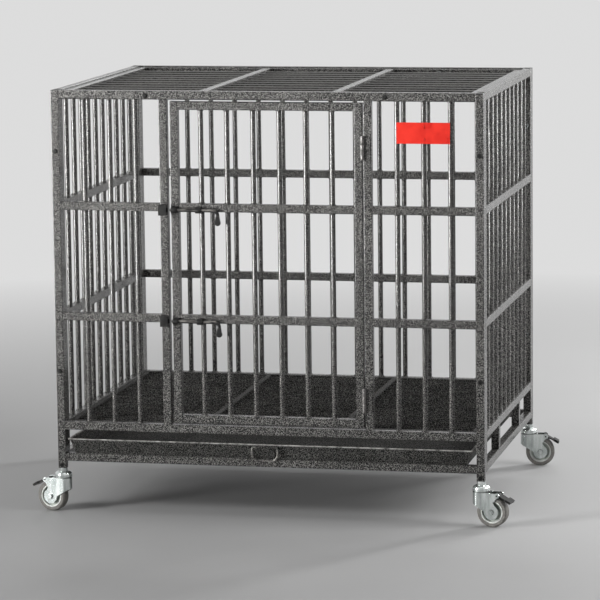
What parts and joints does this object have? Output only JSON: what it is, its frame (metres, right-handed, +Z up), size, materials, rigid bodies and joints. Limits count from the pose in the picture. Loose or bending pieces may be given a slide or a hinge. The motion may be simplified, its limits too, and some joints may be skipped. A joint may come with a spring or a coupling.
{
  "type": "dog crate",
  "caption": "Heavy duty dog crate on braked swivel casters: barred steel tube panels, hinged front door with slide bolts, floor grate and slide-out tray.",
  "frame": {"origin": "on the floor, under the middle of the frame", "axes": "+X along the front to the right as seen from the front, +Y from the door to the back, +Z up"},
  "size_m": [1.2133, 0.8209, 1.048],
  "materials": {
    "coat": "dark grey hammertone powder coat",
    "dark_steel": "satin black",
    "zinc": "zinc plated",
    "wheel_plastic": "light grey moulded plastic",
    "grey_rubber": "matte grey rubber",
    "black_plastic": "matte black moulded plastic",
    "red_enamel": "plain red enamel"
  },
  "bodies": {
    "frame": {"front_posts": "coat", "back_posts": "coat", "front_rails": "coat", "door_jambs": "coat", "front_mid_rails": "coat", "front_bars": "coat", "back_rails": "coat", "back_bars": "coat", "left_panel_frame": "coat", "left_panel_bars": "coat", "right_panel_frame": "coat", "right_panel_bars": "coat", "top_panel_frame": "coat", "top_panel_bars": "coat", "floor_grate_frame": "coat", "floor_grate_rods": "coat", "grate_ledges": "coat", "tray_runners": "coat", "panel_bolts": "dark_steel", "panel_nuts": "zinc", "post_plugs": "black_plastic", "stem_sockets": "black_plastic", "stem_screws": "dark_steel", "caster_stems": "zinc", "swivel_washers": "black_plastic", "jamb_hinge_leaves": "coat", "hinge_pins": "zinc", "bolt_keepers": "dark_steel", "front_plate": "red_enamel", "plate_rivets": "red_enamel"},
    "door": {"door_frame": "coat", "door_bars": "coat", "door_hinge_leaves": "coat", "bolt_guides": "dark_steel"},
    "upper_bolt": {"upper_bolt": "dark_steel"},
    "lower_bolt": {"lower_bolt": "dark_steel"},
    "tray": {"tray_pan": "coat", "handle_strap": "coat"},
    "tray_handle": {"tray_handle": "dark_steel"},
    "front_left_caster": {"front_left_fork": "zinc", "front_left_axle": "zinc"},
    "front_left_wheel": {"front_left_core": "wheel_plastic", "front_left_tyre": "grey_rubber"},
    "front_left_brake": {"front_left_brake": "dark_steel"},
    "front_right_caster": {"front_right_fork": "zinc", "front_right_axle": "zinc"},
    "front_right_wheel": {"front_right_core": "wheel_plastic", "front_right_tyre": "grey_rubber"},
    "front_right_brake": {"front_right_brake": "dark_steel"},
    "back_left_caster": {"back_left_fork": "zinc", "back_left_axle": "zinc"},
    "back_left_wheel": {"back_left_core": "wheel_plastic", "back_left_tyre": "grey_rubber"},
    "back_left_brake": {"back_left_brake": "dark_steel"},
    "back_right_caster": {"back_right_fork": "zinc", "back_right_axle": "zinc"},
    "back_right_wheel": {"back_right_core": "wheel_plastic", "back_right_tyre": "grey_rubber"},
    "back_right_brake": {"back_right_brake": "dark_steel"}
  },
  "joints": [
    {"name": "door_hinge", "type": "hinge", "parent": "frame", "child": "door", "pos_m": [0.24175, -0.3958, 0.6275], "axis": [0, 0, 1], "range_deg": [0, 180]},
    {"name": "tray_slide", "type": "slide", "parent": "frame", "child": "tray", "axis": [0, -1, 0], "range_m": [0, 0.65]},
    {"name": "tray_handle_swing", "type": "hinge", "parent": "tray", "child": "tray_handle", "pos_m": [-0.008, -0.39647, 0.1781], "axis": [-1, 0, 0], "range_deg": [0, 110]},
    {"name": "upper_bolt_slide", "type": "slide", "parent": "door", "child": "upper_bolt", "axis": [-1, 0, 0], "range_m": [0, 0.026]},
    {"name": "lower_bolt_slide", "type": "slide", "parent": "door", "child": "lower_bolt", "axis": [-1, 0, 0], "range_m": [0, 0.026]},
    {"name": "front_left_swivel", "type": "hinge", "parent": "frame", "child": "front_left_caster", "pos_m": [-0.525, -0.3805, 0.085], "axis": [0, 0, 1], "continuous": true},
    {"name": "front_left_roll", "type": "hinge", "parent": "front_left_caster", "child": "front_left_wheel", "pos_m": [-0.55423, -0.37375, 0.0375], "axis": [-0.225, -0.9744, 0], "continuous": true},
    {"name": "front_left_brake_press", "type": "hinge", "parent": "front_left_caster", "child": "front_left_brake", "pos_m": [-0.56787, -0.3706, 0.07816], "axis": [-0.225, -0.9744, 0], "range_deg": [0, 10]},
    {"name": "front_right_swivel", "type": "hinge", "parent": "frame", "child": "front_right_caster", "pos_m": [0.525, -0.3805, 0.085], "axis": [0, 0, 1], "continuous": true},
    {"name": "front_right_roll", "type": "hinge", "parent": "front_right_caster", "child": "front_right_wheel", "pos_m": [0.55454, -0.38571, 0.0375], "axis": [0.1736, 0.9848, 0], "continuous": true},
    {"name": "front_right_brake_press", "type": "hinge", "parent": "front_right_caster", "child": "front_right_brake", "pos_m": [0.56833, -0.38814, 0.07816], "axis": [0.1736, 0.9848, 0], "range_deg": [0, 10]},
    {"name": "back_left_swivel", "type": "hinge", "parent": "frame", "child": "back_left_caster", "pos_m": [-0.525, 0.3805, 0.085], "axis": [0, 0, 1], "continuous": true},
    {"name": "back_left_roll", "type": "hinge", "parent": "back_left_caster", "child": "back_left_wheel", "pos_m": [-0.555, 0.3805, 0.0375], "axis": [0, -1, 0], "continuous": true},
    {"name": "back_left_brake_press", "type": "hinge", "parent": "back_left_caster", "child": "back_left_brake", "pos_m": [-0.569, 0.3805, 0.07816], "axis": [0, -1, 0], "range_deg": [0, 10]},
    {"name": "back_right_swivel", "type": "hinge", "parent": "frame", "child": "back_right_caster", "pos_m": [0.525, 0.3805, 0.085], "axis": [0, 0, 1], "continuous": true},
    {"name": "back_right_roll", "type": "hinge", "parent": "back_right_caster", "child": "back_right_wheel", "pos_m": [0.55463, 0.38519, 0.0375], "axis": [-0.1564, 0.9877, 0], "continuous": true},
    {"name": "back_right_brake_press", "type": "hinge", "parent": "back_right_caster", "child": "back_right_brake", "pos_m": [0.56846, 0.38738, 0.07816], "axis": [-0.1564, 0.9877, 0], "range_deg": [0, 10]}
  ]
}
